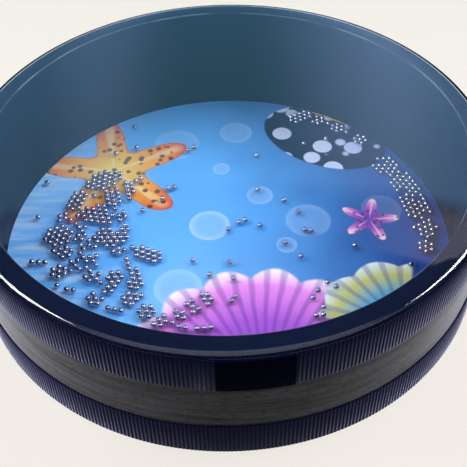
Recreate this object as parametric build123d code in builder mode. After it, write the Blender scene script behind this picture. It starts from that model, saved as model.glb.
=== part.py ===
"""Ocean drum: a shallow wooden hoop closed by two glued film heads, with loose steel balls between them.

Millimetres, +Z up, origin at the middle of the bottom face. The front of the drum faces -Y.
"""

import os
from math import cos, dist, hypot, pi, radians, sin, sqrt

from build123d import *

# Overall size, measured over the ribbons
drum_radius = 100.0
drum_height = 52.0

# Wooden hoop
hoop_wall = 7.5

# Film heads: flat across, folded over the rim, glued down the outside as a skirt
film_thickness = 0.3
fold_bevel = 1.4
skirt_height = 12.0

# Wood-grain film round the middle of the hoop
wrap_thickness = 0.3
wrap_end_gap = 0.3

# Ribbons over the skirts, with lapped ends
ribbon_width = 15.0
ribbon_thickness = 0.6
ribbon_setback = 0.8
lap_length = 26.0
lap_ramp = 4.0
top_lap_azimuth = -74.0
bottom_lap_azimuth = 106.0

# Line of glue between curved faces
glue_line = 0.1

# Loose balls: their faces, and how far apart they lie in the rows of a drift
ball_diameter = 2.4
ball_sides = 4
ball_spacing = 2.7
ball_clearance = 0.3

# Radii and levels that follow from the sizes above
ribbon_inner = drum_radius - ribbon_thickness
skirt_outer = ribbon_inner - glue_line
skirt_inner = skirt_outer - film_thickness
hoop_outer = skirt_inner - glue_line
hoop_inner = hoop_outer - hoop_wall
hoop_base = film_thickness + glue_line
hoop_height = drum_height - 2 * hoop_base
wrap_base = skirt_height + wrap_end_gap
wrap_height = drum_height - 2 * wrap_base
ball_level = film_thickness + ball_clearance + ball_diameter / 2
ball_reach = hoop_inner - ball_clearance - ball_diameter / 2
least_spacing = (ball_diameter + ball_spacing) / 2

# Places on the floor are shares of the ball's reach: across (+X) and along (+Y) from the middle.
# A lobe of a drift is an ellipse: its middle, its half length and half width, and its turn in degrees.
left_lobes = [
    (-0.62, 0.355, 0.115, 0.055, 30),
    (-0.565, 0.235, 0.11, 0.035, -75),
    (-0.495, 0.275, 0.065, 0.03, -75),
    (-0.46, 0.345, 0.045, 0.015, 40),
    (-0.735, 0.21, 0.09, 0.045, 75),
    (-0.61, 0.115, 0.125, 0.07, -10),
    (-0.545, -0.015, 0.08, 0.08, 0),
    (-0.56, -0.09, 0.10, 0.05, -20),
    (-0.79, -0.025, 0.08, 0.06, 80),
    (-0.77, -0.11, 0.08, 0.035, -40),
    (-0.775, 0.09, 0.045, 0.035, 35),
    (-0.68, 0.26, 0.05, 0.045, 25),
    (-0.715, 0.0, 0.065, 0.055, -55),
    (-0.645, -0.135, 0.095, 0.035, -55),
    (-0.68, -0.18, 0.11, 0.03, -45),
    (-0.605, -0.27, 0.065, 0.035, -45),
    (-0.585, -0.22, 0.06, 0.02, -75),
    (-0.515, -0.31, 0.07, 0.04, 65),
    (-0.515, -0.36, 0.025, 0.015, 80),
    (-0.46, -0.175, 0.065, 0.02, -75),
    (-0.42, -0.29, 0.08, 0.035, -70),
    (-0.425, -0.405, 0.06, 0.04, 50),
    (-0.575, -0.40, 0.05, 0.03, -65),
    (-0.365, -0.15, 0.07, 0.035, -25),
    (-0.44, -0.105, 0.03, 0.01, -10),
]
left_gaps = [
    (-0.64, 0.275, 0.02, 0.015, -55),
    (-0.665, 0.195, 0.02, 0.02, 0),
    (-0.74, 0.115, 0.02, 0.02, 0),
    (-0.545, 0.08, 0.025, 0.02, 80),
    (-0.52, 0.025, 0.02, 0.02, 0),
    (-0.65, 0.0, 0.025, 0.02, -55),
    (-0.71, -0.095, 0.025, 0.02, -35),
    (-0.63, -0.125, 0.025, 0.02, -75),
    (-0.525, -0.20, 0.05, 0.03, -70),
]
rim_lobes = [
    (-0.855, -0.185, 0.035, 0.015, -5),
    (-0.755, -0.245, 0.06, 0.04, 35),
    (-0.76, -0.295, 0.035, 0.01, -70),
    (-0.705, -0.345, 0.05, 0.015, -10),
    (-0.675, -0.36, 0.02, 0.01, -70),
]
front_lobes = [
    (-0.35, -0.475, 0.05, 0.04, -65),
    (-0.295, -0.52, 0.065, 0.035, -15),
    (-0.21, -0.555, 0.04, 0.015, -15),
    (-0.22, -0.505, 0.045, 0.03, 45),
    (-0.18, -0.47, 0.06, 0.045, 35),
    (-0.16, -0.415, 0.03, 0.02, 0),
    (-0.105, -0.415, 0.04, 0.04, 0),
    (-0.105, -0.565, 0.04, 0.015, 5),
    (-0.485, -0.46, 0.045, 0.015, -15),
]
right_lobes = [
    (0.80, 0.43, 0.09, 0.06, -60),
    (0.87, 0.29, 0.105, 0.065, -70),
    (0.90, 0.14, 0.105, 0.065, -80),
    (0.92, -0.01, 0.085, 0.055, -90),
    (0.90, -0.13, 0.06, 0.03, 80),
]
right_gaps = [
    (0.77, 0.45, 0.022, 0.016, 0),
    (0.84, 0.22, 0.030, 0.018, 30),
    (0.94, 0.07, 0.030, 0.018, 80),
]
back_lobes = [
    (0.40, 0.84, 0.065, 0.05, 30),
    (0.49, 0.81, 0.052, 0.034, -30),
    (0.59, 0.74, 0.085, 0.03, -40),
    (0.70, 0.64, 0.050, 0.028, -20),
]

# Balls that lie singly, each free to roll by itself
stray_places = [
    (-0.50, 0.775),
    (-0.30, 0.29),
    (-0.175, 0.60),
    (-0.16, -0.19),
    (0.15, 0.525),
    (0.145, 0.27),
    (0.27, 0.19),
    (0.355, -0.01),
    (0.325, -0.175),
    (0.575, -0.115),
    (0.40, 0.615),
    (0.465, -0.355),
    (0.02, -0.30),
    (0.81, -0.235),
]
# Balls scattered between them
scatter_places = [
    (-0.475, 0.605),
    (-0.58, 0.56),
    (-0.205, 0.575),
    (-0.265, 0.295),
    (-0.32, 0.215),
    (-0.41, 0.135),
    (-0.90, 0.345),
    (-0.905, 0.10),
    (0.05, 0.045),
    (0.08, 0.06),
    (0.15, 0.025),
    (0.335, 0.11),
    (0.385, -0.015),
    (0.26, -0.09),
    (0.43, -0.33),
    (0.385, -0.375),
    (0.36, -0.415),
    (0.40, -0.465),
    (0.365, -0.51),
    (0.395, -0.505),
    (0.01, -0.425),
    (0.025, -0.40),
    (-0.085, -0.275),
    (0.005, -0.205),
    (0.52, 0.655),
]


def within(point, lobe):
    """Whether a point, in millimetres, lies inside an ellipse given in shares of the ball's reach."""
    across, along, half_length, half_width, turn = lobe
    dx = point[0] - across * ball_reach
    dy = point[1] - along * ball_reach
    u = dx * cos(radians(turn)) + dy * sin(radians(turn))
    v = dy * cos(radians(turn)) - dx * sin(radians(turn))
    return hypot(u / (half_length * ball_reach), v / (half_width * ball_reach)) <= 1


def packed_places(lobes, gaps, taken):
    """Ball centres in staggered rows along each lobe, clear of the gaps and of the balls already there."""
    row_step = ball_spacing * sqrt(3) / 2
    places = []
    for lobe in lobes:
        across, along, half_length, half_width, turn = lobe
        c, s = cos(radians(turn)), sin(radians(turn))
        rows = int(half_width * ball_reach / row_step)
        columns = int(half_length * ball_reach / ball_spacing)
        for row in range(-rows, rows + 1):
            stagger = ball_spacing / 2 * (row % 2)
            for column in range(-columns, columns + 1):
                u = column * ball_spacing + stagger
                v = row * row_step
                point = (across * ball_reach + u * c - v * s, along * ball_reach + u * s + v * c)
                if not within(point, lobe) or hypot(*point) > ball_reach:
                    continue
                if any(within(point, gap) for gap in gaps):
                    continue
                if any(dist(point, place) < ball_spacing for place in taken):
                    continue
                if all(dist(point, place) > least_spacing for place in places):
                    places.append(point)
    return places


def floor_places(shares):
    """Ball centres from places given in shares of the ball's reach."""
    return [(across * ball_reach, along * ball_reach) for across, along in shares]


def steel_ball():
    """One ball, inside its round: two rings of corners, turned half a step, and a point above and below."""
    radius = ball_diameter / 2
    level = radius / sqrt(5)
    step = 360 / ball_sides
    upper = [Vector(2 * level, 0, level).rotate(Axis.Z, step * side) for side in range(ball_sides)]
    lower = [Vector(2 * level, 0, -level).rotate(Axis.Z, step * (side + 0.5)) for side in range(ball_sides)]
    top = Vector(0, 0, radius)
    faces = []
    for side in range(ball_sides):
        after = (side + 1) % ball_sides
        corners = [
            (upper[side], upper[after], top),
            (upper[side], lower[side], upper[after]),
            (lower[side], lower[after], upper[after]),
            (lower[side], lower[after], -top),
        ]
        faces += [Face(Wire.make_polygon(trio)) for trio in corners]
    return Solid(Shell(faces))


def bevel_inside(depth):
    """Bevel of a face that lies a given depth inside the fold of a head, measured square to it."""
    return fold_bevel - (2 - sqrt(2)) * depth


def head_section(face_level, down):
    """Half section of a head: flat film, fold and skirt. down is -1 for a skirt that hangs below."""
    inner_level = face_level + down * film_thickness
    skirt_end = face_level + down * skirt_height
    inner_bevel = bevel_inside(film_thickness)
    with BuildSketch(Plane.XZ) as section:
        with BuildLine():
            Polyline(
                (0, face_level),
                (skirt_outer - fold_bevel, face_level),
                (skirt_outer, face_level + down * fold_bevel),
                (skirt_outer, skirt_end),
                (skirt_inner, skirt_end),
                (skirt_inner, inner_level + down * inner_bevel),
                (skirt_inner - inner_bevel, inner_level),
                (0, inner_level),
                close=True,
            )
        make_face()
    return section.sketch


def ribbon_plan(lap_azimuth):
    """Plan of a ribbon: one turn round the drum, with its outer end lapped over its start."""
    lap_outer = drum_radius + ribbon_thickness
    lap_angle = lap_length / drum_radius * 180 / pi
    ramp_angle = lap_ramp / drum_radius * 180 / pi
    ramp_azimuth = lap_azimuth - lap_angle
    cut_foot = Vector(ribbon_inner, 0).rotate(Axis.Z, lap_azimuth)
    cut_top = Vector(lap_outer, 0).rotate(Axis.Z, lap_azimuth)
    ramp_top = Vector(lap_outer, 0).rotate(Axis.Z, ramp_azimuth)
    ramp_foot = Vector(ribbon_inner, 0).rotate(Axis.Z, ramp_azimuth - ramp_angle)
    with BuildSketch() as plan:
        with BuildLine():
            Line(cut_foot, cut_top)
            CenterArc((0, 0), lap_outer, lap_azimuth, -lap_angle)
            Line(ramp_top, ramp_foot)
            CenterArc((0, 0), ribbon_inner, ramp_azimuth - ramp_angle, lap_angle + ramp_angle)
        make_face()
        Circle(drum_radius)
        Circle(ribbon_inner, mode=Mode.SUBTRACT)
    return plan.sketch


# Hoop: a straight wooden ring, bevelled outside to take the folds of the heads
with BuildPart() as hoop:
    with BuildSketch(Plane.XY.offset(hoop_base)):
        Circle(hoop_outer)
        Circle(hoop_inner, mode=Mode.SUBTRACT)
    extrude(amount=hoop_height)
    rims = hoop.edges().filter_by(GeomType.CIRCLE).sort_by(SortBy.RADIUS)[-2:]
    chamfer(rims, length=bevel_inside(film_thickness + glue_line))

# Wood-grain film between the two skirts
with BuildPart() as grain_wrap:
    with BuildSketch(Plane.XY.offset(wrap_base)):
        Circle(hoop_outer + glue_line + wrap_thickness)
        Circle(hoop_outer + glue_line, mode=Mode.SUBTRACT)
    extrude(amount=wrap_height)

# Heads
with BuildPart() as top_head:
    add(head_section(drum_height, -1))
    revolve(axis=Axis.Z)

with BuildPart() as bottom_head:
    add(head_section(0, 1))
    revolve(axis=Axis.Z)

# Ribbons
with BuildPart() as top_ribbon:
    with BuildSketch(Plane.XY.offset(drum_height - ribbon_setback - ribbon_width)):
        add(ribbon_plan(top_lap_azimuth))
    extrude(amount=ribbon_width)

with BuildPart() as bottom_ribbon:
    with BuildSketch(Plane.XY.offset(ribbon_setback)):
        add(ribbon_plan(bottom_lap_azimuth))
    extrude(amount=ribbon_width)

# Balls: where each group lies, the singles first so that the drifts keep clear of them
ball_places = {"centre_ball": [(0.0, 0.0)]}
for number, place in enumerate(stray_places, 1):
    ball_places[f"stray_ball_{number:02d}"] = floor_places([place])
ball_places["scattered_balls"] = floor_places(scatter_places)
drifts = {
    "left_drift": (left_lobes, left_gaps),
    "rim_drift": (rim_lobes, []),
    "front_drift": (front_lobes, []),
    "right_drift": (right_lobes, right_gaps),
    "back_drift": (back_lobes, []),
}
for name, (lobes, gaps) in drifts.items():
    taken = [place for group in ball_places.values() for place in group]
    ball_places[name] = packed_places(lobes, gaps, taken)

ball = steel_ball()
balls = {}
for name, places in ball_places.items():
    with BuildPart() as group:
        with Locations(*[(x, y, ball_level) for x, y in places]):
            add(ball)
    balls[name] = group.part

pieces = {
    "hoop": hoop.part,
    "grain_wrap": grain_wrap.part,
    "top_head": top_head.part,
    "bottom_head": bottom_head.part,
    "top_ribbon": top_ribbon.part,
    "bottom_ribbon": bottom_ribbon.part,
    **balls,
}

os.makedirs("parts", exist_ok=True)
for name, piece in pieces.items():
    piece.label = name
    export_step(piece, f"parts/{name}.step")

print("balls", {name: len(places) for name, places in ball_places.items()})
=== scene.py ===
"""Looks of an ocean drum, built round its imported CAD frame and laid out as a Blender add-on."""

from math import cos, hypot, pi, radians, sin

import bmesh
import bpy
from bpy.props import FloatProperty, FloatVectorProperty, IntProperty, PointerProperty
from bpy.types import Operator, Panel, PropertyGroup
from mathutils import Matrix, Vector, noise


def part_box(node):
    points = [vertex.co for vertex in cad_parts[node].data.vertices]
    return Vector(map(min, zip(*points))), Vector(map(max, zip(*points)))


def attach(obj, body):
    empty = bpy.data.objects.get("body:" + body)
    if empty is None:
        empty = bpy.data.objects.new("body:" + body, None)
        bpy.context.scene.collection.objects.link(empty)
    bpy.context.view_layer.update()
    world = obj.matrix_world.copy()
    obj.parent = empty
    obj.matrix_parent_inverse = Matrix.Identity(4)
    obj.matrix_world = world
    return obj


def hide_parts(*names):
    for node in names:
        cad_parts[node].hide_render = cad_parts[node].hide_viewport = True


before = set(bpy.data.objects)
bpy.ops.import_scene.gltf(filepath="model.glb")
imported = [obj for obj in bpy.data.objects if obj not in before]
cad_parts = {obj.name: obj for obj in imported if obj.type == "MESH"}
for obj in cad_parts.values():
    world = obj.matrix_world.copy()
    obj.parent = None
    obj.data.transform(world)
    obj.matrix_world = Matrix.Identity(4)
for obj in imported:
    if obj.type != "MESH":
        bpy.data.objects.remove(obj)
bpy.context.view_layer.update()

bl_info = {
    "name": "Ocean drum",
    "version": (1, 0, 0),
    "blender": (4, 5, 0),
    "location": "View3D > Sidebar > Drum",
    "description": "Hoop, film heads, ribbons and loose balls of an ocean drum",
    "category": "Add Mesh",
}

MM = 0.001
MAP_STEP = 2 * MM  # height that each side of the ribbon's section has in its unrolled map
BALL_NODES = sorted(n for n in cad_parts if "ball" in n or "drift" in n)


def node_radii(node):
    """Least and greatest distance of a CAD node from the drum's axis."""
    radii = [hypot(v.co.x, v.co.y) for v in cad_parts[node].data.vertices]
    return min(radii), max(radii)


HOOP_INNER, HOOP_OUTER = node_radii("hoop")
HOOP_LOW, HOOP_HIGH = (corner.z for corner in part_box("hoop"))
WRAP_INNER, WRAP_OUTER = node_radii("grain_wrap")
WRAP_LOW, WRAP_HIGH = (corner.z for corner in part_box("grain_wrap"))
SKIRT_OUTER = node_radii("top_head")[1]
TOP_LOW, TOP_HIGH = (corner.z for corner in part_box("top_head"))
RIBBON_INNER = node_radii("top_ribbon")[0]
BALL_RADIUS = (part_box("centre_ball")[1].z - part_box("centre_ball")[0].z) / 2


def length(name, description, default):
    return FloatProperty(
        name=name, description=description, default=default, subtype="DISTANCE", unit="LENGTH"
    )


def azimuth(name, description, degrees):
    return FloatProperty(
        name=name, description=description, default=radians(degrees), subtype="ANGLE", unit="ROTATION"
    )


def colour(name, description, default):
    return FloatVectorProperty(
        name=name, description=description, default=default, subtype="COLOR", size=3, min=0, max=1
    )


class DrumSizes(PropertyGroup):
    """Sizes that the CAD frame leaves to the looks."""

    round_steps: IntProperty(name="Round steps", description="Faces round the hoop and heads", default=288)
    film: length("Film", "Thickness of the film heads", 0.3 * MM)
    fold: length("Fold", "Radius of the film's fold over the rim", 2.2 * MM)
    fold_wave: length("Fold wave", "How far the fold wanders in and out", 0.11 * MM)
    hoop_round: length("Hoop round", "Radius of the hoop's inner edges", 0.5 * MM)
    ribbon: length("Ribbon", "Thickness of the ribbon", 0.6 * MM)
    rib_pitch: length("Rib pitch", "From one rib of the ribbon to the next", 1.36 * MM)
    rib_height: length("Rib height", "Height of a rib over its groove", 0.22 * MM)
    rib_edge: length("Rib edge", "How far a rib stands out at the ribbon's edge", 0.12 * MM)
    lap: length("Lap", "Length of the ribbon's lapped end", 26 * MM)
    lap_ramp: length("Lap ramp", "Length over which the lapped end climbs", 4 * MM)
    top_lap: azimuth("Top lap", "Where the top ribbon ends", -78.5)
    bottom_lap: azimuth("Bottom lap", "Where the bottom ribbon ends", 106)


class DrumColours(PropertyGroup):
    """Colours of the drum's finishes."""

    hoop: colour("Hoop", "Paint of the hoop", (0.0008, 0.0022, 0.012))
    grain: colour("Grain", "Body of the wood-grain film", (0.070, 0.067, 0.065))
    ribbon: colour("Ribbon", "Yarn of the ribbon", (0.002, 0.003, 0.019))
    lap: colour("Lap", "Yarn of the ribbon where it is pressed and glued", (0.003, 0.003, 0.014))
    film: colour("Film", "Tint of the clear film", (0.94, 0.97, 1.0))
    # Grey steel; its blue-violet tint is a painted reflection of the blue print.
    steel: colour("Steel", "Steel of the balls", (0.60, 0.59, 0.70))
    floor: colour("Floor", "Pale floor", (0.86, 0.83, 0.765))
    shallow: colour("Shallow water", "Bright side of the print", (0.14, 0.49, 1.0))
    deep: colour("Deep water", "Dark side of the print", (0.010, 0.050, 0.28))


def sizes():
    return bpy.context.scene.drum_sizes


def colours():
    return bpy.context.scene.drum_colours


# Meshes


def add_piece(name, mesh, material, body, node):
    """Puts a mesh in the scene in place of a CAD node, on that node's body."""
    piece = bpy.data.objects.new(name, mesh)
    bpy.context.scene.collection.objects.link(piece)
    for each in material if isinstance(material, (list, tuple)) else [material]:
        mesh.materials.append(each)
    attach(piece, body)
    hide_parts(node)
    return piece


def finish_mesh(name, points, faces, corners, crease):
    """A smooth mesh with an unrolled map in metres, sharp where faces meet at more than crease."""
    mesh = bpy.data.meshes.new(name)
    mesh.from_pydata(points, [], faces)
    unrolled = mesh.uv_layers.new(name="unrolled")
    flat = [value for face in corners for pair in face for value in pair]
    unrolled.data.foreach_set("uv", flat)
    shape = bmesh.new()
    shape.from_mesh(mesh)
    bmesh.ops.recalc_face_normals(shape, faces=shape.faces)
    shape.to_mesh(mesh)
    shape.free()
    mesh.shade_smooth()
    mesh.set_sharp_from_angle(angle=radians(crease))
    return mesh


def turned(name, profile, steps, wander=None, crease=40):
    """Turns a closed profile of (radius, height) points about the drum's axis. A radius of 0 gives a pole."""
    points, rows = [], []
    for index, (radius, height) in enumerate(profile):
        row = []
        for step in range(steps):
            if radius == 0 and row:
                row.append(row[0])
                continue
            angle = 2 * pi * step / steps + pi / 2
            out, up = wander(index, angle) if wander else (0, 0)
            row.append(len(points))
            points.append(((radius + out) * cos(angle), (radius + out) * sin(angle), height + up))
        rows.append(row)
    along = [0.0]
    for (r0, z0), (r1, z1) in zip(profile, profile[1:] + profile[:1]):
        along.append(along[-1] + hypot(r1 - r0, z1 - z0))
    widest = max(radius for radius, height in profile)
    faces, corners = [], []
    for index, row in enumerate(rows):
        other = rows[(index + 1) % len(rows)]
        for step in range(steps):
            after = (step + 1) % steps
            u0, u1 = (2 * pi * widest * s / steps for s in (step, step + 1))
            v0, v1 = along[index], along[index + 1]
            ring = [
                (row[step], (u0, v0)),
                (row[after], (u1, v0)),
                (other[after], (u1, v1)),
                (other[step], (u0, v1)),
            ]
            kept = [c for n, c in enumerate(ring) if c[0] not in [d[0] for d in ring[:n]]]
            if len(kept) > 2:
                faces.append([c[0] for c in kept])
                corners.append([c[1] for c in kept])
    return finish_mesh(name, points, faces, corners, crease)


def arc(centre, radius, start, end, steps):
    """Points on an arc in the profile plane, angles in degrees from the outward direction."""
    turn = [radians(start + (end - start) * n / steps) for n in range(steps + 1)]
    return [(centre[0] + radius * cos(a), centre[1] + radius * sin(a)) for a in turn]


def head_profile(face, down):
    """Profile of a head whose flat face lies at height face and whose skirt runs towards down."""
    s = sizes()
    fold_steps = 8
    skirt = TOP_HIGH - TOP_LOW
    middle = (SKIRT_OUTER - s.fold, face + down * s.fold)
    outer = arc(middle, s.fold, -down * 90, 0, fold_steps)
    inner = arc(middle, s.fold - s.film, 0, -down * 90, fold_steps)
    end = face + down * skirt
    flat = [0.5 * middle[0], 0.9 * middle[0], middle[0] - 4 * MM]
    return (
        [(0, face)]
        + [(radius, face) for radius in flat]
        + outer
        + [(SKIRT_OUTER, end), (SKIRT_OUTER - s.film, end)]
        + inner
        + [(radius, face + down * s.film) for radius in reversed(flat)]
        + [(0, face + down * s.film)]
    )


def fold_wander(profile, face):
    """Small in and out wander of a fold, nil on the flat face and at the end of the skirt."""
    wave = sizes().fold_wave

    def wander(index, angle):
        radius, height = profile[index]
        share = max(0.0, 1 - abs(abs(height - face) - 0.8 * MM) / (1.2 * MM))
        if radius < SKIRT_OUTER - 3 * MM:
            share = 0.0
        around = Vector((cos(angle) * 9, sin(angle) * 9, 0))
        fine = noise.noise(around) + 0.3 * noise.noise(3 * around)
        return -wave * share * abs(fine), 0.35 * wave * share * fine

    return wander


def ribbon_mesh(name, low, high, lap_end):
    """A ribbed ribbon wound once round the drum, with its outer end lapped over its start."""
    s = sizes()
    outer_radius = RIBBON_INNER + s.ribbon
    lap_angle = s.lap / outer_radius
    ramp_angle = s.lap_ramp / outer_radius
    whole = 2 * pi + lap_angle
    ribs = round(whole * outer_radius / s.rib_pitch)
    rib_steps = 6
    columns = ribs * rib_steps
    points, faces, corners, laps = [], [], [], []
    middle = (low + high) / 2
    selvedge = 0.5 * MM
    for column in range(columns + 1):
        turn = whole * column / columns
        climb = min(1.0, max(0.0, (turn - 2 * pi + ramp_angle) / ramp_angle))
        inside = RIBBON_INNER + climb * s.ribbon
        pressed = 1 - 0.65 * min(1.0, max(0.0, (turn - 2 * pi + 2 * ramp_angle) / ramp_angle))
        crest = (0.5 + 0.5 * cos(2 * pi * column / rib_steps)) ** 0.7
        outside = inside + s.ribbon - s.rib_height * pressed * (1 - crest)
        tooth = s.rib_edge * (2 * crest - 1) * pressed
        half = inside + 0.55 * s.ribbon
        section = [
            (inside, low + 0.1 * MM),
            (half, low - tooth),
            (outside, low + selvedge),
            (outside, middle),
            (outside, high - selvedge),
            (half, high + tooth),
            (inside, high - 0.1 * MM),
        ]
        angle = lap_end - lap_angle + turn
        points += [(r * cos(angle), r * sin(angle), z) for r, z in section]
    count = len(section)
    for column in range(columns):
        u0, u1 = (c / rib_steps for c in (column, column + 1))
        glued = whole * column / columns > 2 * pi + ramp_angle / 2
        for row in range(count):
            after = (row + 1) % count
            a, b = column * count, (column + 1) * count
            faces.append([a + row, b + row, b + after, a + after])
            v0, v1 = (z * MAP_STEP for z in (row, row + 1))
            corners.append([(u0, v0), (u1, v0), (u1, v1), (u0, v1)])
            laps.append(1 if glued else 0)
    for start, order in ((0, 1), (columns * count, -1)):
        faces.append([start + row for row in range(count)][::order])
        corners.append([(0, 0)] * count)
        laps.append(0 if start == 0 else 1)
    mesh = finish_mesh(name, points, faces, corners, 60)
    mesh.polygons.foreach_set("material_index", laps)
    return mesh


def ball_places(node):
    """Middle of each ball of a CAD node."""
    shape = bmesh.new()
    shape.from_mesh(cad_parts[node].data)
    bmesh.ops.remove_doubles(shape, verts=shape.verts, dist=0.001 * MM)
    left, places = set(shape.verts), []
    while left:
        island, edge = set(), [next(iter(left))]
        while edge:
            point = edge.pop()
            if point in island:
                continue
            island.add(point)
            edge += [e.other_vert(point) for e in point.link_edges]
        left -= island
        places.append(sum((v.co for v in island), Vector()) / len(island))
    shape.free()
    return sorted(places, key=lambda p: (round(p.x, 6), round(p.y, 6)))


def ball_mesh(name, places):
    """Round balls at the given places, as one mesh."""
    shape = bmesh.new()
    for place in places:
        bmesh.ops.create_icosphere(
            shape, subdivisions=3, radius=BALL_RADIUS, matrix=Matrix.Translation(place)
        )
    mesh = bpy.data.meshes.new(name)
    shape.to_mesh(mesh)
    shape.free()
    mesh.shade_smooth()
    return mesh


# Materials


def link(tree, value, socket):
    """Sets a socket from a number, a colour or another socket."""
    if isinstance(value, bpy.types.NodeSocket):
        tree.links.new(value, socket)
    else:
        socket.default_value = (*value, 1) if socket.type == "RGBA" and len(value) == 3 else value


def maths(tree, operation, *values):
    node = tree.nodes.new("ShaderNodeMath")
    node.operation = operation
    for value, socket in zip(values, node.inputs):
        link(tree, value, socket)
    return node.outputs[0]


def between(tree, value, low, high, to_low=0.0, to_high=1.0):
    """Smooth step of a value from low to high."""
    node = tree.nodes.new("ShaderNodeMapRange")
    node.interpolation_type = "SMOOTHSTEP"
    for number, socket in zip((value, low, high, to_low, to_high), node.inputs):
        link(tree, number, socket)
    return node.outputs[0]


def mixed(tree, share, first, second):
    """Mix of two colours."""
    node = tree.nodes.new("ShaderNodeMix")
    node.data_type = "RGBA"
    link(tree, share, node.inputs[0])
    link(tree, first, node.inputs[6])
    link(tree, second, node.inputs[7])
    return node.outputs[2]


def ramped(tree, value, stops):
    """Colour along a list of (place, colour) stops."""
    node = tree.nodes.new("ShaderNodeValToRGB")
    marks = node.color_ramp.elements
    while len(marks) < len(stops):
        marks.new(0.5)
    for mark, (place, shade) in zip(marks, stops):
        mark.position = place
        mark.color = (*shade, 1)
    link(tree, value, node.inputs[0])
    return node.outputs[0]


def noisy(tree, coords, scale, detail=3.0, rough=0.55, distortion=0.0):
    node = tree.nodes.new("ShaderNodeTexNoise")
    node.inputs["Scale"].default_value = scale
    node.inputs["Detail"].default_value = detail
    node.inputs["Roughness"].default_value = rough
    node.inputs["Distortion"].default_value = distortion
    link(tree, coords, node.inputs["Vector"])
    return node.outputs["Fac"]


def celled(tree, coords, scale, randomness=1.0):
    node = tree.nodes.new("ShaderNodeTexVoronoi")
    node.inputs["Scale"].default_value = scale
    node.inputs["Randomness"].default_value = randomness
    link(tree, coords, node.inputs["Vector"])
    return node.outputs["Distance"]


def stretched(tree, coords, scale, turn=0.0):
    node = tree.nodes.new("ShaderNodeMapping")
    node.inputs["Scale"].default_value = scale
    node.inputs["Rotation"].default_value = (0, 0, turn)
    link(tree, coords, node.inputs["Vector"])
    return node.outputs[0]


def bumped(tree, height, strength, distance):
    node = tree.nodes.new("ShaderNodeBump")
    node.inputs["Strength"].default_value = strength
    node.inputs["Distance"].default_value = distance
    link(tree, height, node.inputs["Height"])
    return node.outputs[0]


def coordinates(tree, kind="Object"):
    return tree.nodes.new("ShaderNodeTexCoord").outputs[kind]


def new_material(name):
    """A new material, its node tree and its Principled shader."""
    material = bpy.data.materials.new(name)
    material.use_nodes = True
    tree = material.node_tree
    shader = tree.nodes["Principled BSDF"]
    return material, tree, shader


def new_group(name, inputs, outputs):
    """An empty node group with named sockets, its inputs and its outputs."""
    tree = bpy.data.node_groups.new(name, "ShaderNodeTree")
    for label, kind, default in inputs:
        socket = tree.interface.new_socket(name=label, in_out="INPUT", socket_type=kind)
        if default is not None:
            socket.default_value = default
    for label, kind in outputs:
        tree.interface.new_socket(name=label, in_out="OUTPUT", socket_type=kind)
    return tree, tree.nodes.new("NodeGroupInput").outputs, tree.nodes.new("NodeGroupOutput").inputs


FLOAT, VECTOR = "NodeSocketFloat", "NodeSocketVector"


def mottling_group():
    """Cloudy unevenness of a finish, from Low to High."""
    if "Mottling" in bpy.data.node_groups:
        return bpy.data.node_groups["Mottling"]
    tree, given, result = new_group(
        "Mottling",
        [("Vector", VECTOR, None), ("Scale", FLOAT, 60.0), ("Low", FLOAT, 0.0), ("High", FLOAT, 1.0)],
        [("Value", FLOAT)],
    )
    cloud = tree.nodes.new("ShaderNodeTexNoise")
    cloud.inputs["Detail"].default_value = 5
    tree.links.new(given["Vector"], cloud.inputs["Vector"])
    tree.links.new(given["Scale"], cloud.inputs["Scale"])
    level = between(tree, cloud.outputs["Fac"], 0.3, 0.7, given["Low"], given["High"])
    tree.links.new(level, result["Value"])
    return tree


def motif_group():
    """Place of a point in a printed motif: across and along it, its distance and its angle."""
    if "Motif" in bpy.data.node_groups:
        return bpy.data.node_groups["Motif"]
    tree, given, result = new_group(
        "Motif",
        [
            ("Vector", VECTOR, None), ("Middle X", FLOAT, 0.0), ("Middle Y", FLOAT, 0.0),
            ("Length", FLOAT, 10.0), ("Width", FLOAT, 10.0), ("Turn", FLOAT, 0.0),
        ],
        [("Across", FLOAT), ("Along", FLOAT), ("Distance", FLOAT), ("Angle", FLOAT)],
    )
    split = tree.nodes.new("ShaderNodeSeparateXYZ")
    tree.links.new(given["Vector"], split.inputs[0])
    x = maths(tree, "SUBTRACT", maths(tree, "MULTIPLY", split.outputs[0], 1000.0), given["Middle X"])
    y = maths(tree, "SUBTRACT", maths(tree, "MULTIPLY", split.outputs[1], 1000.0), given["Middle Y"])
    c = maths(tree, "COSINE", given["Turn"])
    s = maths(tree, "SINE", given["Turn"])
    turned_x = maths(tree, "ADD", maths(tree, "MULTIPLY", x, c), maths(tree, "MULTIPLY", y, s))
    turned_y = maths(tree, "SUBTRACT", maths(tree, "MULTIPLY", y, c), maths(tree, "MULTIPLY", x, s))
    across = maths(tree, "DIVIDE", turned_x, given["Length"])
    along = maths(tree, "DIVIDE", turned_y, given["Width"])
    square = maths(tree, "MULTIPLY_ADD", across, across, maths(tree, "MULTIPLY", along, along))
    tree.links.new(across, result["Across"])
    tree.links.new(along, result["Along"])
    tree.links.new(maths(tree, "SQRT", square), result["Distance"])
    tree.links.new(maths(tree, "ARCTAN2", along, across), result["Angle"])
    return tree


def grouped(tree, group, **values):
    """Places a node group, with its inputs set by name."""
    node = tree.nodes.new("ShaderNodeGroup")
    node.node_tree = group
    for label, value in values.items():
        link(tree, value, node.inputs[label.replace("_", " ")])
    return node.outputs


def mottled(tree, coords, scale, low, high):
    return grouped(tree, mottling_group(), Vector=coords, Scale=scale, Low=low, High=high)["Value"]


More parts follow.
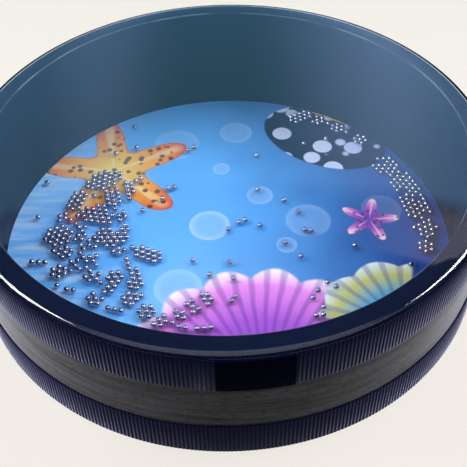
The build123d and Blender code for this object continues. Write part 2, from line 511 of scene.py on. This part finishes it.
def hoop_paint():
    """Dark paint on wood, brushed round the hoop, with a painted highlight along the inner top edge."""
    material, tree, shader = new_material("hoop_paint")
    coords = coordinates(tree)
    streaks = noisy(tree, stretched(tree, coordinates(tree, "UV"), (20, 900, 1)), 1.0, 4)
    base = mixed(tree, mottled(tree, coords, 25, 0.0, 0.7), colours().hoop, (0.0012, 0.004, 0.017))
    base = mixed(tree, between(tree, streaks, 0.35, 0.75, 0, 0.5), base, (0.002, 0.006, 0.022))
    split = tree.nodes.new("ShaderNodeSeparateXYZ")
    link(tree, coords, split.inputs[0])
    flat = maths(tree, "SQRT", maths(tree, "ADD", maths(tree, "MULTIPLY", split.outputs[0], split.outputs[0]),
                                     maths(tree, "MULTIPLY", split.outputs[1], split.outputs[1])))
    # Painted highlight: the paint turns pale and mottled along the inner top edge, where the rounded edge
    # would catch the light.
    near_edge = between(tree, flat, HOOP_INNER + 0.45 * MM, HOOP_INNER + 0.15 * MM)
    near_top = between(tree, split.outputs[2], HOOP_HIGH - 0.8 * MM, HOOP_HIGH - 0.3 * MM)
    rim = maths(tree, "MULTIPLY", near_edge, near_top)
    painted_edge_highlight = maths(tree, "MULTIPLY", rim, mottled(tree, coords, 60, 0.1, 1.0))
    link(tree, mixed(tree, painted_edge_highlight, base, (0.10, 0.13, 0.15)), shader.inputs["Base Color"])
    link(tree, mottled(tree, coords, 90, 0.6, 0.8), shader.inputs["Roughness"])
    shader.inputs["Specular IOR Level"].default_value = 0.04
    link(tree, bumped(tree, streaks, 0.12, 0.1 * MM), shader.inputs["Normal"])
    return material


def grain_film():
    """Grey wood-grain film: fine streaks round the drum, darker veins, faint reddish patches."""
    material, tree, shader = new_material("grain_film")
    unrolled = coordinates(tree, "UV")
    fine = noisy(tree, stretched(tree, unrolled, (45, 1600, 1)), 1.0, 6, 0.65)
    broad = noisy(tree, stretched(tree, unrolled, (14, 260, 1)), 1.0, 5, 0.6, 0.6)
    veins = between(tree, noisy(tree, stretched(tree, unrolled, (28, 420, 1)), 1.0, 3, 0.5, 0.4), 0.60, 0.70)
    red = between(tree, noisy(tree, stretched(tree, unrolled, (22, 70, 1)), 1.0, 2), 0.60, 0.74, 0, 0.45)
    base = mixed(tree, between(tree, fine, 0.3, 0.7, 0, 0.75), colours().grain, (0.19, 0.185, 0.184))
    specks = noisy(tree, stretched(tree, unrolled, (420, 1500, 1)), 1.0, 3, 0.6)
    base = mixed(tree, between(tree, specks, 0.50, 0.64, 0, 0.7), base, (0.026, 0.025, 0.025))
    base = mixed(tree, between(tree, broad, 0.35, 0.7, 0, 0.8), base, (0.032, 0.031, 0.030))
    base = mixed(tree, maths(tree, "MULTIPLY", veins, 0.65), base, (0.006, 0.006, 0.006))
    base = mixed(tree, red, base, (0.042, 0.024, 0.024))
    scratch_at = noisy(tree, stretched(tree, unrolled, (60, 2600, 1)), 1.0, 1)
    base = mixed(tree, between(tree, scratch_at, 0.78, 0.84, 0, 0.5), base, (0.30, 0.29, 0.27))
    link(tree, base, shader.inputs["Base Color"])
    link(tree, between(tree, fine, 0.25, 0.75, 0.48, 0.62), shader.inputs["Roughness"])
    shader.inputs["Specular IOR Level"].default_value = 0.12
    brushed_upward(tree, shader, 0.8)
    link(tree, between(tree, fine, 0.3, 0.7, 0.45, 0.75), shader.inputs["Sheen Weight"])
    shader.inputs["Sheen Roughness"].default_value = 0.25
    shader.inputs["Sheen Tint"].default_value = (0.94, 0.93, 1.0, 1)
    link(tree, bumped(tree, fine, 0.3, 0.05 * MM), shader.inputs["Normal"])
    return material


def brushed_upward(tree, shader, amount):
    """Draws a gloss out up and down the wall, as threads or grain that run round the drum do."""
    round_axis = tree.nodes.new("ShaderNodeTangent")
    round_axis.direction_type = "RADIAL"
    round_axis.axis = "Z"
    link(tree, round_axis.outputs[0], shader.inputs["Tangent"])
    shader.inputs["Anisotropic"].default_value = amount
    shader.inputs["Anisotropic Rotation"].default_value = 0.25


def ribbon_yarn(name, yarn, pale, gloss):
    """Ribbed ribbon: dark yarn whose rib crests get a soft shader shine and a pale painted highlight, both
    cut by painted shade near the rim.
    """
    material, tree, shader = new_material(name)
    unrolled = coordinates(tree, "UV")
    split = tree.nodes.new("ShaderNodeSeparateXYZ")
    link(tree, unrolled, split.inputs[0])
    wave = maths(tree, "COSINE", maths(tree, "MULTIPLY", split.outputs[0], 2 * pi))
    crest = between(tree, wave, -0.5, 0.7, 0.15, 1)
    place = tree.nodes.new("ShaderNodeSeparateXYZ")
    link(tree, coordinates(tree), place.inputs[0])
    # Painted shade under the film's fold: from 6 mm to 1 mm below the top, the crest highlight and Sheen
    # Weight of the upper ribbon fall to 0.3.
    pressed = between(tree, place.outputs[2], TOP_HIGH - 6 * MM, TOP_HIGH - 1 * MM, 1, 0.3)
    # Painted shade along the upper edge of each ribbon: there the crest highlight and Sheen Weight fall to
    # 0.15.
    upper_edge = 4 * MAP_STEP
    selvedge = between(tree, split.outputs[1], upper_edge - 0.1 * MM, upper_edge + 0.4 * MM, 1, 0.15)
    pressed = maths(tree, "MULTIPLY", pressed, selvedge)
    # One share sets both the Sheen Weight and the painted highlight on the rib crests.
    sheen_and_painted_highlight = maths(tree, "MULTIPLY", maths(tree, "MULTIPLY", crest, pressed), gloss)
    threads = noisy(tree, stretched(tree, unrolled, (9.5, 2200, 1)), 1.0, 2)
    patches = mottled(tree, coordinates(tree), 130, 0.0, 1.0)
    base = mixed(tree, between(tree, threads, 0.35, 0.7, 0, 0.3), yarn, pale)
    base = mixed(tree, maths(tree, "MULTIPLY", patches, 0.25), base, [0.5 * c for c in yarn])
    # Painted highlight: the base colour of the rib crests turns towards the pale colour.
    base = mixed(tree, sheen_and_painted_highlight, base, pale)
    link(tree, base, shader.inputs["Base Color"])
    shader.inputs["Roughness"].default_value = 0.6
    shader.inputs["Specular IOR Level"].default_value = 0.04 * gloss
    link(tree, sheen_and_painted_highlight, shader.inputs["Sheen Weight"])
    shader.inputs["Sheen Roughness"].default_value = 0.3
    shader.inputs["Sheen Tint"].default_value = (0.74, 0.75, 1.0, 1)
    link(tree, bumped(tree, threads, 0.5, 0.06 * MM), shader.inputs["Normal"])
    return material


def clear_film():
    """Clear film: smooth, a little smudged, open to the light of lamps."""
    material, tree, shader = new_material("clear_film")
    coords = coordinates(tree)
    shader.inputs["Base Color"].default_value = (*colours().film, 1)
    shader.inputs["Transmission Weight"].default_value = 1
    shader.inputs["IOR"].default_value = 1.58
    link(tree, mottled(tree, coords, 22, 0.0, 0.006), shader.inputs["Roughness"])
    link(tree, bumped(tree, noisy(tree, coords, 14, 2), 0.05, 1.0 * MM), shader.inputs["Normal"])
    open_to_light = tree.nodes.new("ShaderNodeBsdfTransparent")
    open_to_light.inputs[0].default_value = (0.93, 0.95, 0.97, 1)
    path = tree.nodes.new("ShaderNodeLightPath")
    mix = tree.nodes.new("ShaderNodeMixShader")
    link(tree, path.outputs["Is Shadow Ray"], mix.inputs[0])
    link(tree, shader.outputs[0], mix.inputs[1])
    link(tree, open_to_light.outputs[0], mix.inputs[2])
    link(tree, mix.outputs[0], tree.nodes["Material Output"].inputs["Surface"])
    return material


def steel():
    """Polished steel, grey with a blue-violet tint that is a painted reflection of the blue print."""
    material, tree, shader = new_material("polished_steel")
    shader.inputs["Base Color"].default_value = (*colours().steel, 1)
    shader.inputs["Metallic"].default_value = 1
    link(tree, mottled(tree, coordinates(tree), 900, 0.15, 0.22), shader.inputs["Roughness"])
    return material


# The printed head: a generic sea bed of bubbles, sea stars, sea fans and shells


def bubble(tree, coords, under, middle, radius, strength):
    place = grouped(tree, motif_group(), Vector=coords, Middle_X=middle[0], Middle_Y=middle[1],
                    Length=radius, Width=radius)
    body = between(tree, place["Distance"], 1.0, 0.92, 0, 0.55 * strength)
    rim = between(tree, place["Distance"], 0.55, 0.97, 0, strength)
    share = maths(tree, "MULTIPLY", body, maths(tree, "ADD", 0.5, rim))
    return mixed(tree, share, under, (0.66, 0.85, 1.0))


def sea_star(tree, coords, under, middle, radius, turn, stops, spots):
    """A five-armed sea star with dark spots and a pale ridge on each arm."""
    place = grouped(tree, motif_group(), Vector=coords, Middle_X=middle[0], Middle_Y=middle[1],
                    Length=radius, Width=radius, Turn=radians(turn))
    wave = maths(tree, "COSINE", maths(tree, "MULTIPLY", place["Angle"], 5.0))
    arm = maths(tree, "POWER", maths(tree, "MULTIPLY_ADD", wave, 0.5, 0.5), 1.5)
    wobble = maths(tree, "MULTIPLY", maths(tree, "SUBTRACT", noisy(tree, coords, 90, 2), 0.5), 0.12)
    edge = maths(tree, "ADD", maths(tree, "MULTIPLY_ADD", arm, 0.60, 0.40), wobble)
    inside = maths(tree, "SUBTRACT", edge, place["Distance"])
    body = ramped(tree, place["Distance"], stops)
    ridge = maths(tree, "MULTIPLY", between(tree, wave, 0.86, 1.0, 0, 0.55), between(tree, inside, 0.0, 0.2))
    body = mixed(tree, ridge, body, (1.0, 0.86, 0.42))
    dark = between(tree, celled(tree, coords, spots), 0.34, 0.24, 0, 0.85)
    body = mixed(tree, dark, body, (0.10, 0.045, 0.03))
    body = mixed(tree, between(tree, inside, 0.07, 0.0, 0, 0.5), body, (0.16, 0.05, 0.10))
    return mixed(tree, between(tree, inside, -0.015, 0.025), under, body)


def sea_fan(tree, coords, under, root, reach, turn, spread, ribs, stops):
    """A fan that grows from its root, ribbed outward, with a scalloped rim."""
    place = grouped(tree, motif_group(), Vector=coords, Middle_X=root[0], Middle_Y=root[1],
                    Length=reach, Width=reach, Turn=radians(turn))
    angle = place["Angle"]
    lobes = maths(tree, "ABSOLUTE", maths(tree, "SINE", maths(tree, "MULTIPLY", angle, ribs / 6)))
    rim = maths(tree, "MULTIPLY_ADD", lobes, 0.09, 0.88)
    inside = maths(tree, "SUBTRACT", rim, place["Distance"])
    side = maths(tree, "SUBTRACT", radians(spread), maths(tree, "ABSOLUTE", angle))
    body = ramped(tree, place["Distance"], stops)
    stripe = maths(tree, "SINE", maths(tree, "ADD", maths(tree, "MULTIPLY", angle, float(ribs)),
                                       maths(tree, "MULTIPLY", noisy(tree, coords, 40, 2), 3.0)))
    body = mixed(tree, between(tree, stripe, -0.2, 0.9, 0, 0.42), body, (0.09, 0.03, 0.32))
    shape = maths(tree, "MULTIPLY", between(tree, inside, 0.0, 0.03), between(tree, side, 0.0, 0.05))
    return mixed(tree, shape, under, body)


def spotted_shell(tree, coords, under, middle, size, turn, spots):
    """A dark egg-shaped shell with pale blotches and a warm lip."""
    place = grouped(tree, motif_group(), Vector=coords, Middle_X=middle[0], Middle_Y=middle[1],
                    Length=size[0], Width=size[1], Turn=radians(turn))
    body = ramped(tree, place["Distance"], [(0.0, (0.020, 0.026, 0.075)), (1.0, (0.006, 0.008, 0.030))])
    wash = noisy(tree, coords, 30, 2)
    pale = mixed(tree, wash, (0.86, 0.90, 1.0), (0.52, 0.60, 0.92))
    cells = celled(tree, coords, spots, randomness=0.75)
    body = mixed(tree, between(tree, cells, 0.46, 0.40), body, pale)
    lip = between(tree, place["Along"], -0.62, -0.70)
    body = mixed(tree, lip, body, mixed(tree, wash, (1.0, 0.34, 0.05), (1.0, 0.62, 0.12)))
    return mixed(tree, between(tree, place["Distance"], 1.0, 0.965), under, body)


def water(tree, coords):
    """Blue water, bright on the left and deep on the right, with slanting pale streaks."""
    split = tree.nodes.new("ShaderNodeSeparateXYZ")
    link(tree, coords, split.inputs[0])
    slope = maths(tree, "ADD", split.outputs[0], maths(tree, "MULTIPLY", split.outputs[1], 0.1))
    wander = maths(tree, "SUBTRACT", noisy(tree, coords, 16, 2), 0.5)
    slope = maths(tree, "ADD", slope, maths(tree, "MULTIPLY", wander, 0.07))
    sea = mixed(tree, between(tree, slope, -0.04, 0.10), colours().shallow, colours().deep)
    light = between(tree, noisy(tree, coords, 11, 1), 0.45, 0.75, 0, 0.5)
    light = maths(tree, "MULTIPLY", light, between(tree, slope, 0.05, -0.06))
    sea = mixed(tree, light, sea, (0.42, 0.70, 1.0))
    streaks = noisy(tree, stretched(tree, coords, (26, 190, 1), radians(-38)), 1.0, 4)
    shore = between(tree, slope, -0.035, -0.085)
    share = maths(tree, "MULTIPLY", between(tree, streaks, 0.42, 0.68, 0, 0.65), shore)
    return mixed(tree, share, sea, (0.74, 0.86, 1.0))


BUBBLES = [
    ((-8, 4), 9, 0.7), ((14, 22), 6, 0.5), ((-24, 58), 11, 0.45), ((4, 66), 8, 0.5), ((34, 6), 10, 0.4),
    ((-20, -30), 10, 0.55), ((66, 12), 9, 0.3), ((-3, 40), 4, 0.6), ((24, -8), 4.5, 0.5),
]
WARM = [(0.0, (1.0, 0.78, 0.16)), (0.45, (1.0, 0.46, 0.06)), (1.0, (0.86, 0.09, 0.05))]
VIOLET = [
    (0.0, (0.10, 0.04, 0.42)), (0.5, (0.42, 0.10, 0.62)),
    (0.8, (0.86, 0.28, 0.80)), (0.93, (1.0, 0.86, 0.97)),
]
TEAL = [
    (0.0, (0.02, 0.10, 0.22)), (0.5, (0.10, 0.42, 0.62)),
    (0.75, (0.62, 0.62, 0.16)), (0.95, (0.80, 0.95, 1.0)),
]


def printed_film():
    """Glossy printed film."""
    material, tree, shader = new_material("printed_film")
    coords = coordinates(tree)
    ink = water(tree, coords)
    for middle, radius, strength in BUBBLES:
        ink = bubble(tree, coords, ink, middle, radius, strength)
    ink = sea_fan(tree, coords, ink, (12, -74), 56, 94, 62, 46, VIOLET)
    ink = sea_fan(tree, coords, ink, (66, -52), 36, 122, 48, 30, TEAL)
    ink = spotted_shell(tree, coords, ink, (46, 62), (31, 21), 148, 95)
    ink = sea_star(tree, coords, ink, (-52, 40), 37, 28, WARM, 230)
    ink = sea_star(tree, coords, ink, (60, 6), 13, 75, VIOLET, 420)
    link(tree, ink, shader.inputs["Base Color"])
    link(tree, mottled(tree, coords, 40, 0.28, 0.42), shader.inputs["Roughness"])
    shader.inputs["Specular IOR Level"].default_value = 0.3
    return material


# Operators: one for each piece or group of like pieces, and one for the stage


class DRUM_OT_hoop(Operator):
    """Turn the painted hoop, with its edges eased inside and bevelled outside."""

    bl_idname = "drum.hoop"
    bl_label = "Hoop"

    def execute(self, context):
        s = sizes()
        r = s.hoop_round
        bevel = 1.3 * MM
        profile = (
            [(HOOP_OUTER, HOOP_LOW + bevel), (HOOP_OUTER, HOOP_HIGH - bevel), (HOOP_OUTER - bevel, HOOP_HIGH)]
            + arc((HOOP_INNER + r, HOOP_HIGH - r), r, 90, 180, 5)
            + arc((HOOP_INNER + r, HOOP_LOW + r), r, 180, 270, 5)
            + [(HOOP_OUTER - bevel, HOOP_LOW)]
        )
        mesh = turned("hoop_wall", profile, s.round_steps)
        add_piece("hoop_wall", mesh, hoop_paint(), "drum", "hoop")
        return {"FINISHED"}


class DRUM_OT_grain_wrap(Operator):
    """Turn the wood-grain film round the hoop."""

    bl_idname = "drum.grain_wrap"
    bl_label = "Grain wrap"

    def execute(self, context):
        profile = [
            (WRAP_INNER, WRAP_LOW),
            (WRAP_OUTER, WRAP_LOW),
            (WRAP_OUTER, WRAP_HIGH),
            (WRAP_INNER, WRAP_HIGH),
        ]
        mesh = turned("grain_band", profile, sizes().round_steps)
        add_piece("grain_band", mesh, grain_film(), "drum", "grain_wrap")
        return {"FINISHED"}


class DRUM_OT_heads(Operator):
    """Fold the clear head over the top rim and the printed head over the bottom rim."""

    bl_idname = "drum.heads"
    bl_label = "Heads"

    def execute(self, context):
        steps = 2 * sizes().round_steps
        for name, node, face, down, finish, slot in (
            ("clear_head", "top_head", TOP_HIGH, -1, clear_film, "clear_film"),
            ("printed_head", "bottom_head", 0.0, 1, printed_film, "printed_film"),
        ):
            profile = head_profile(face, down)
            mesh = turned(name, profile, steps, fold_wander(profile, face), 50)
            add_piece(name, mesh, finish(), "drum", node)
        return {"FINISHED"}


class DRUM_OT_ribbons(Operator):
    """Wind a ribbed ribbon round each skirt, lapped at its end."""

    bl_idname = "drum.ribbons"
    bl_label = "Ribbons"

    def execute(self, context):
        s, c = sizes(), colours()
        finishes = [
            # Each pale colour is that of the lighter threads and also of the painted highlight on the rib
            # crests.
            ribbon_yarn("ribbon_yarn", c.ribbon, (0.007, 0.010, 0.052), 1.0),
            ribbon_yarn("ribbon_lap", c.lap, (0.004, 0.004, 0.018), 0.05),
        ]
        for name, node, end in (
            ("upper_ribbon", "top_ribbon", s.top_lap),
            ("lower_ribbon", "bottom_ribbon", s.bottom_lap),
        ):
            low, high = (corner.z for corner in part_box(node))
            add_piece(name, ribbon_mesh(name, low, high, end), finishes, "drum", node)
        return {"FINISHED"}


class DRUM_OT_balls(Operator):
    """Put a round steel ball at the middle of each ball of the frame."""

    bl_idname = "drum.balls"
    bl_label = "Balls"

    def execute(self, context):
        polished = steel()
        for node in BALL_NODES:
            mesh = ball_mesh(f"{node}_steel", ball_places(node))
            add_piece(f"{node}_steel", mesh, polished, node, node)
        return {"FINISHED"}


class DRUM_OT_stage(Operator):
    """Lay the pale floor and set the lamps, the surroundings and the camera."""

    bl_idname = "drum.stage"
    bl_label = "Stage"

    def execute(self, context):
        scene = context.scene
        scene.view_settings.view_transform = "Standard"
        self.lay_floor()
        self.set_world(scene)
        # Panels and strips light matt faces from both sides, glints show only in polished ones
        self.add_card("left_panel", (-1.2, 0.45, 0.75), (1.4, 1.4), 4.6, (1.0, 0.98, 0.99), shines=False)
        self.add_card("right_panel", (1.2, 0.50, 0.75), (1.4, 1.4), 4.4, (1.0, 0.98, 0.97), shines=False)
        self.add_card("left_glint", (-0.95, 0.0, 0.82), (0.40, 0.70), 13.0, (1.0, 0.98, 0.97), lights=False)
        self.add_card("right_glint", (0.95, 0.22, 0.82), (0.40, 0.70), 13.0, (1.0, 0.98, 0.97), lights=False)
        self.add_card("left_strip", (-1.25, 0.40, 0.25), (1.0, 0.36), 24.0, (0.96, 0.95, 1.10), shines=False)
        self.add_card("right_strip", (1.25, 0.45, 0.25), (1.0, 0.36), 20.0, (0.97, 0.95, 1.04), shines=False)
        # Fitted to the photograph, with a small shift, so that the drum stays in view from other sides too
        camera = bpy.data.cameras.new("camera")
        camera.lens = 62.339
        camera.sensor_width = 36
        camera.shift_y = -0.165
        eye = bpy.data.objects.new("camera", camera)
        eye.location = (0.00256, -0.23733, 0.24615)
        eye.rotation_euler = [radians(a) for a in (49.320, 0.736, -0.658)]
        scene.collection.objects.link(eye)
        scene.camera = eye
        return {"FINISHED"}

    def lay_floor(self):
        """A floor that is pale to the camera, metal and film, dim as a light, keeps the drum's shadow, and
        has painted shade towards the far side.
        """
        reach = 3.0
        mesh = bpy.data.meshes.new("floor")
        corners = [(-reach, -reach, 0), (reach, -reach, 0), (reach, reach, 0), (-reach, reach, 0)]
        mesh.from_pydata(corners, [], [(0, 1, 2, 3)])
        floor = bpy.data.objects.new("floor", mesh)
        bpy.context.scene.collection.objects.link(floor)
        material, tree, shader = new_material("pale_floor")
        cream = colours().floor
        shade = mixed(tree, mottled(tree, coordinates(tree), 6, 0.0, 0.5), cream, (0.93, 0.88, 0.82))
        # Painted shade: the floor's colour darkens towards the far side, from y = 0 to 0.35 m.
        split = tree.nodes.new("ShaderNodeSeparateXYZ")
        link(tree, coordinates(tree), split.inputs[0])
        shade = mixed(tree, between(tree, split.outputs[1], 0.0, 0.35, 0, 0.8), shade, (0.76, 0.75, 0.68))
        shader.inputs["Roughness"].default_value = 0.7
        glow = tree.nodes.new("ShaderNodeEmission")
        link(tree, shade, glow.inputs["Color"])
        path = tree.nodes.new("ShaderNodeLightPath")
        seen = path.outputs["Is Camera Ray"]
        for ray in ("Is Glossy Ray", "Is Transmission Ray"):
            seen = maths(tree, "MAXIMUM", seen, path.outputs[ray])
        link(tree, mixed(tree, seen, (0.13, 0.125, 0.12), shade), shader.inputs["Base Color"])
        mix = tree.nodes.new("ShaderNodeMixShader")
        link(tree, maths(tree, "MULTIPLY", seen, 0.9), mix.inputs[0])
        link(tree, shader.outputs[0], mix.inputs[1])
        link(tree, glow.outputs[0], mix.inputs[2])
        link(tree, mix.outputs[0], tree.nodes["Material Output"].inputs["Surface"])
        mesh.materials.append(material)

    def set_world(self, scene):
        """A dim room: a blue haze low on its far side, paler left and right, and pale overhead and near.

        The limits are shares of a direction: across to the right, away from the camera, and up.
        """
        scene.world = bpy.data.worlds.new("room")
        scene.world.use_nodes = True
        tree = scene.world.node_tree
        split = tree.nodes.new("ShaderNodeSeparateXYZ")
        link(tree, coordinates(tree, "Generated"), split.inputs[0])
        across, away, up = split.outputs
        far = between(tree, away, 0.15, 0.65)
        low = between(tree, up, 0.690, 0.665)
        side = between(tree, maths(tree, "ABSOLUTE", maths(tree, "ADD", across, 0.02)), 0.03, 0.26)
        side = maths(tree, "MULTIPLY", side, between(tree, across, -0.24, -0.12, 0.12, 1))
        side = maths(tree, "MULTIPLY", side, between(tree, across, 0.17, 0.30, 1, 0.35))
        haze = mixed(tree, side, (0.150, 0.40, 0.61), (0.65, 1.04, 1.70))
        shade = mixed(tree, maths(tree, "MULTIPLY", far, low), (0.02, 0.025, 0.04), haze)
        glow = mixed(tree, between(tree, across, -0.1, 0.1), (0.22, 0.32, 0.60), (0.54, 0.50, 0.58))
        wide = between(tree, maths(tree, "ABSOLUTE", across), 0.13, 0.24)
        edge = maths(tree, "SUBTRACT", up, maths(tree, "MULTIPLY", across, 0.06))
        level = maths(tree, "MULTIPLY", between(tree, edge, 0.718, 0.712), between(tree, up, 0.670, 0.690))
        shade = mixed(tree, maths(tree, "MULTIPLY", maths(tree, "MULTIPLY", far, wide), level), shade, glow)
        near = maths(tree, "MAXIMUM", between(tree, up, 0.86, 0.94), between(tree, away, 0.05, -0.25))
        near = maths(tree, "MULTIPLY", near, between(tree, up, 0.50, 0.72))
        shade = mixed(tree, near, shade, (0.50, 0.53, 0.66))
        link(tree, shade, tree.nodes["Background"].inputs["Color"])

    def add_card(self, name, place, size, brightness, tint, lights=True, shines=True):
        """A rectangular lamp that faces the drum. It lights matt faces, shines in polished ones, or both."""
        aim = Vector((0, 0, 0.03))
        lamp = bpy.data.lights.new(name, "AREA")
        lamp.shape = "RECTANGLE"
        lamp.size, lamp.size_y = size
        lamp.energy = brightness * pi * size[0] * size[1]
        lamp.color = tint
        lamp.cycles.use_multiple_importance_sampling = shines
        card = bpy.data.objects.new(name, lamp)
        card.location = place
        card.rotation_euler = (aim - Vector(place)).to_track_quat("-Z", "Y").to_euler()
        card.visible_camera = False
        card.visible_diffuse = lights
        card.visible_glossy = shines
        card.visible_transmission = shines
        bpy.context.scene.collection.objects.link(card)


class DRUM_PT_panel(Panel):
    """Lists the drum's operators with its sizes and colours."""

    bl_idname = "DRUM_PT_panel"
    bl_label = "Ocean drum"
    bl_space_type = "VIEW_3D"
    bl_region_type = "UI"
    bl_category = "Drum"

    def draw(self, context):
        for operator in OPERATORS:
            self.layout.operator(operator.bl_idname)
        for group in (context.scene.drum_sizes, context.scene.drum_colours):
            box = self.layout.box()
            for name in group.__annotations__:
                box.prop(group, name)


OPERATORS = [DRUM_OT_hoop, DRUM_OT_grain_wrap, DRUM_OT_heads, DRUM_OT_ribbons, DRUM_OT_balls, DRUM_OT_stage]
CLASSES = [DrumSizes, DrumColours, *OPERATORS, DRUM_PT_panel]


def register():
    for each in CLASSES:
        bpy.utils.register_class(each)
    bpy.types.Scene.drum_sizes = PointerProperty(type=DrumSizes)
    bpy.types.Scene.drum_colours = PointerProperty(type=DrumColours)


def unregister():
    del bpy.types.Scene.drum_colours
    del bpy.types.Scene.drum_sizes
    for each in reversed(CLASSES):
        bpy.utils.unregister_class(each)


def main():
    register()
    bpy.ops.drum.hoop()
    bpy.ops.drum.grain_wrap()
    bpy.ops.drum.heads()
    bpy.ops.drum.ribbons()
    bpy.ops.drum.balls()
    bpy.ops.drum.stage()


if __name__ == "__main__":
    main()
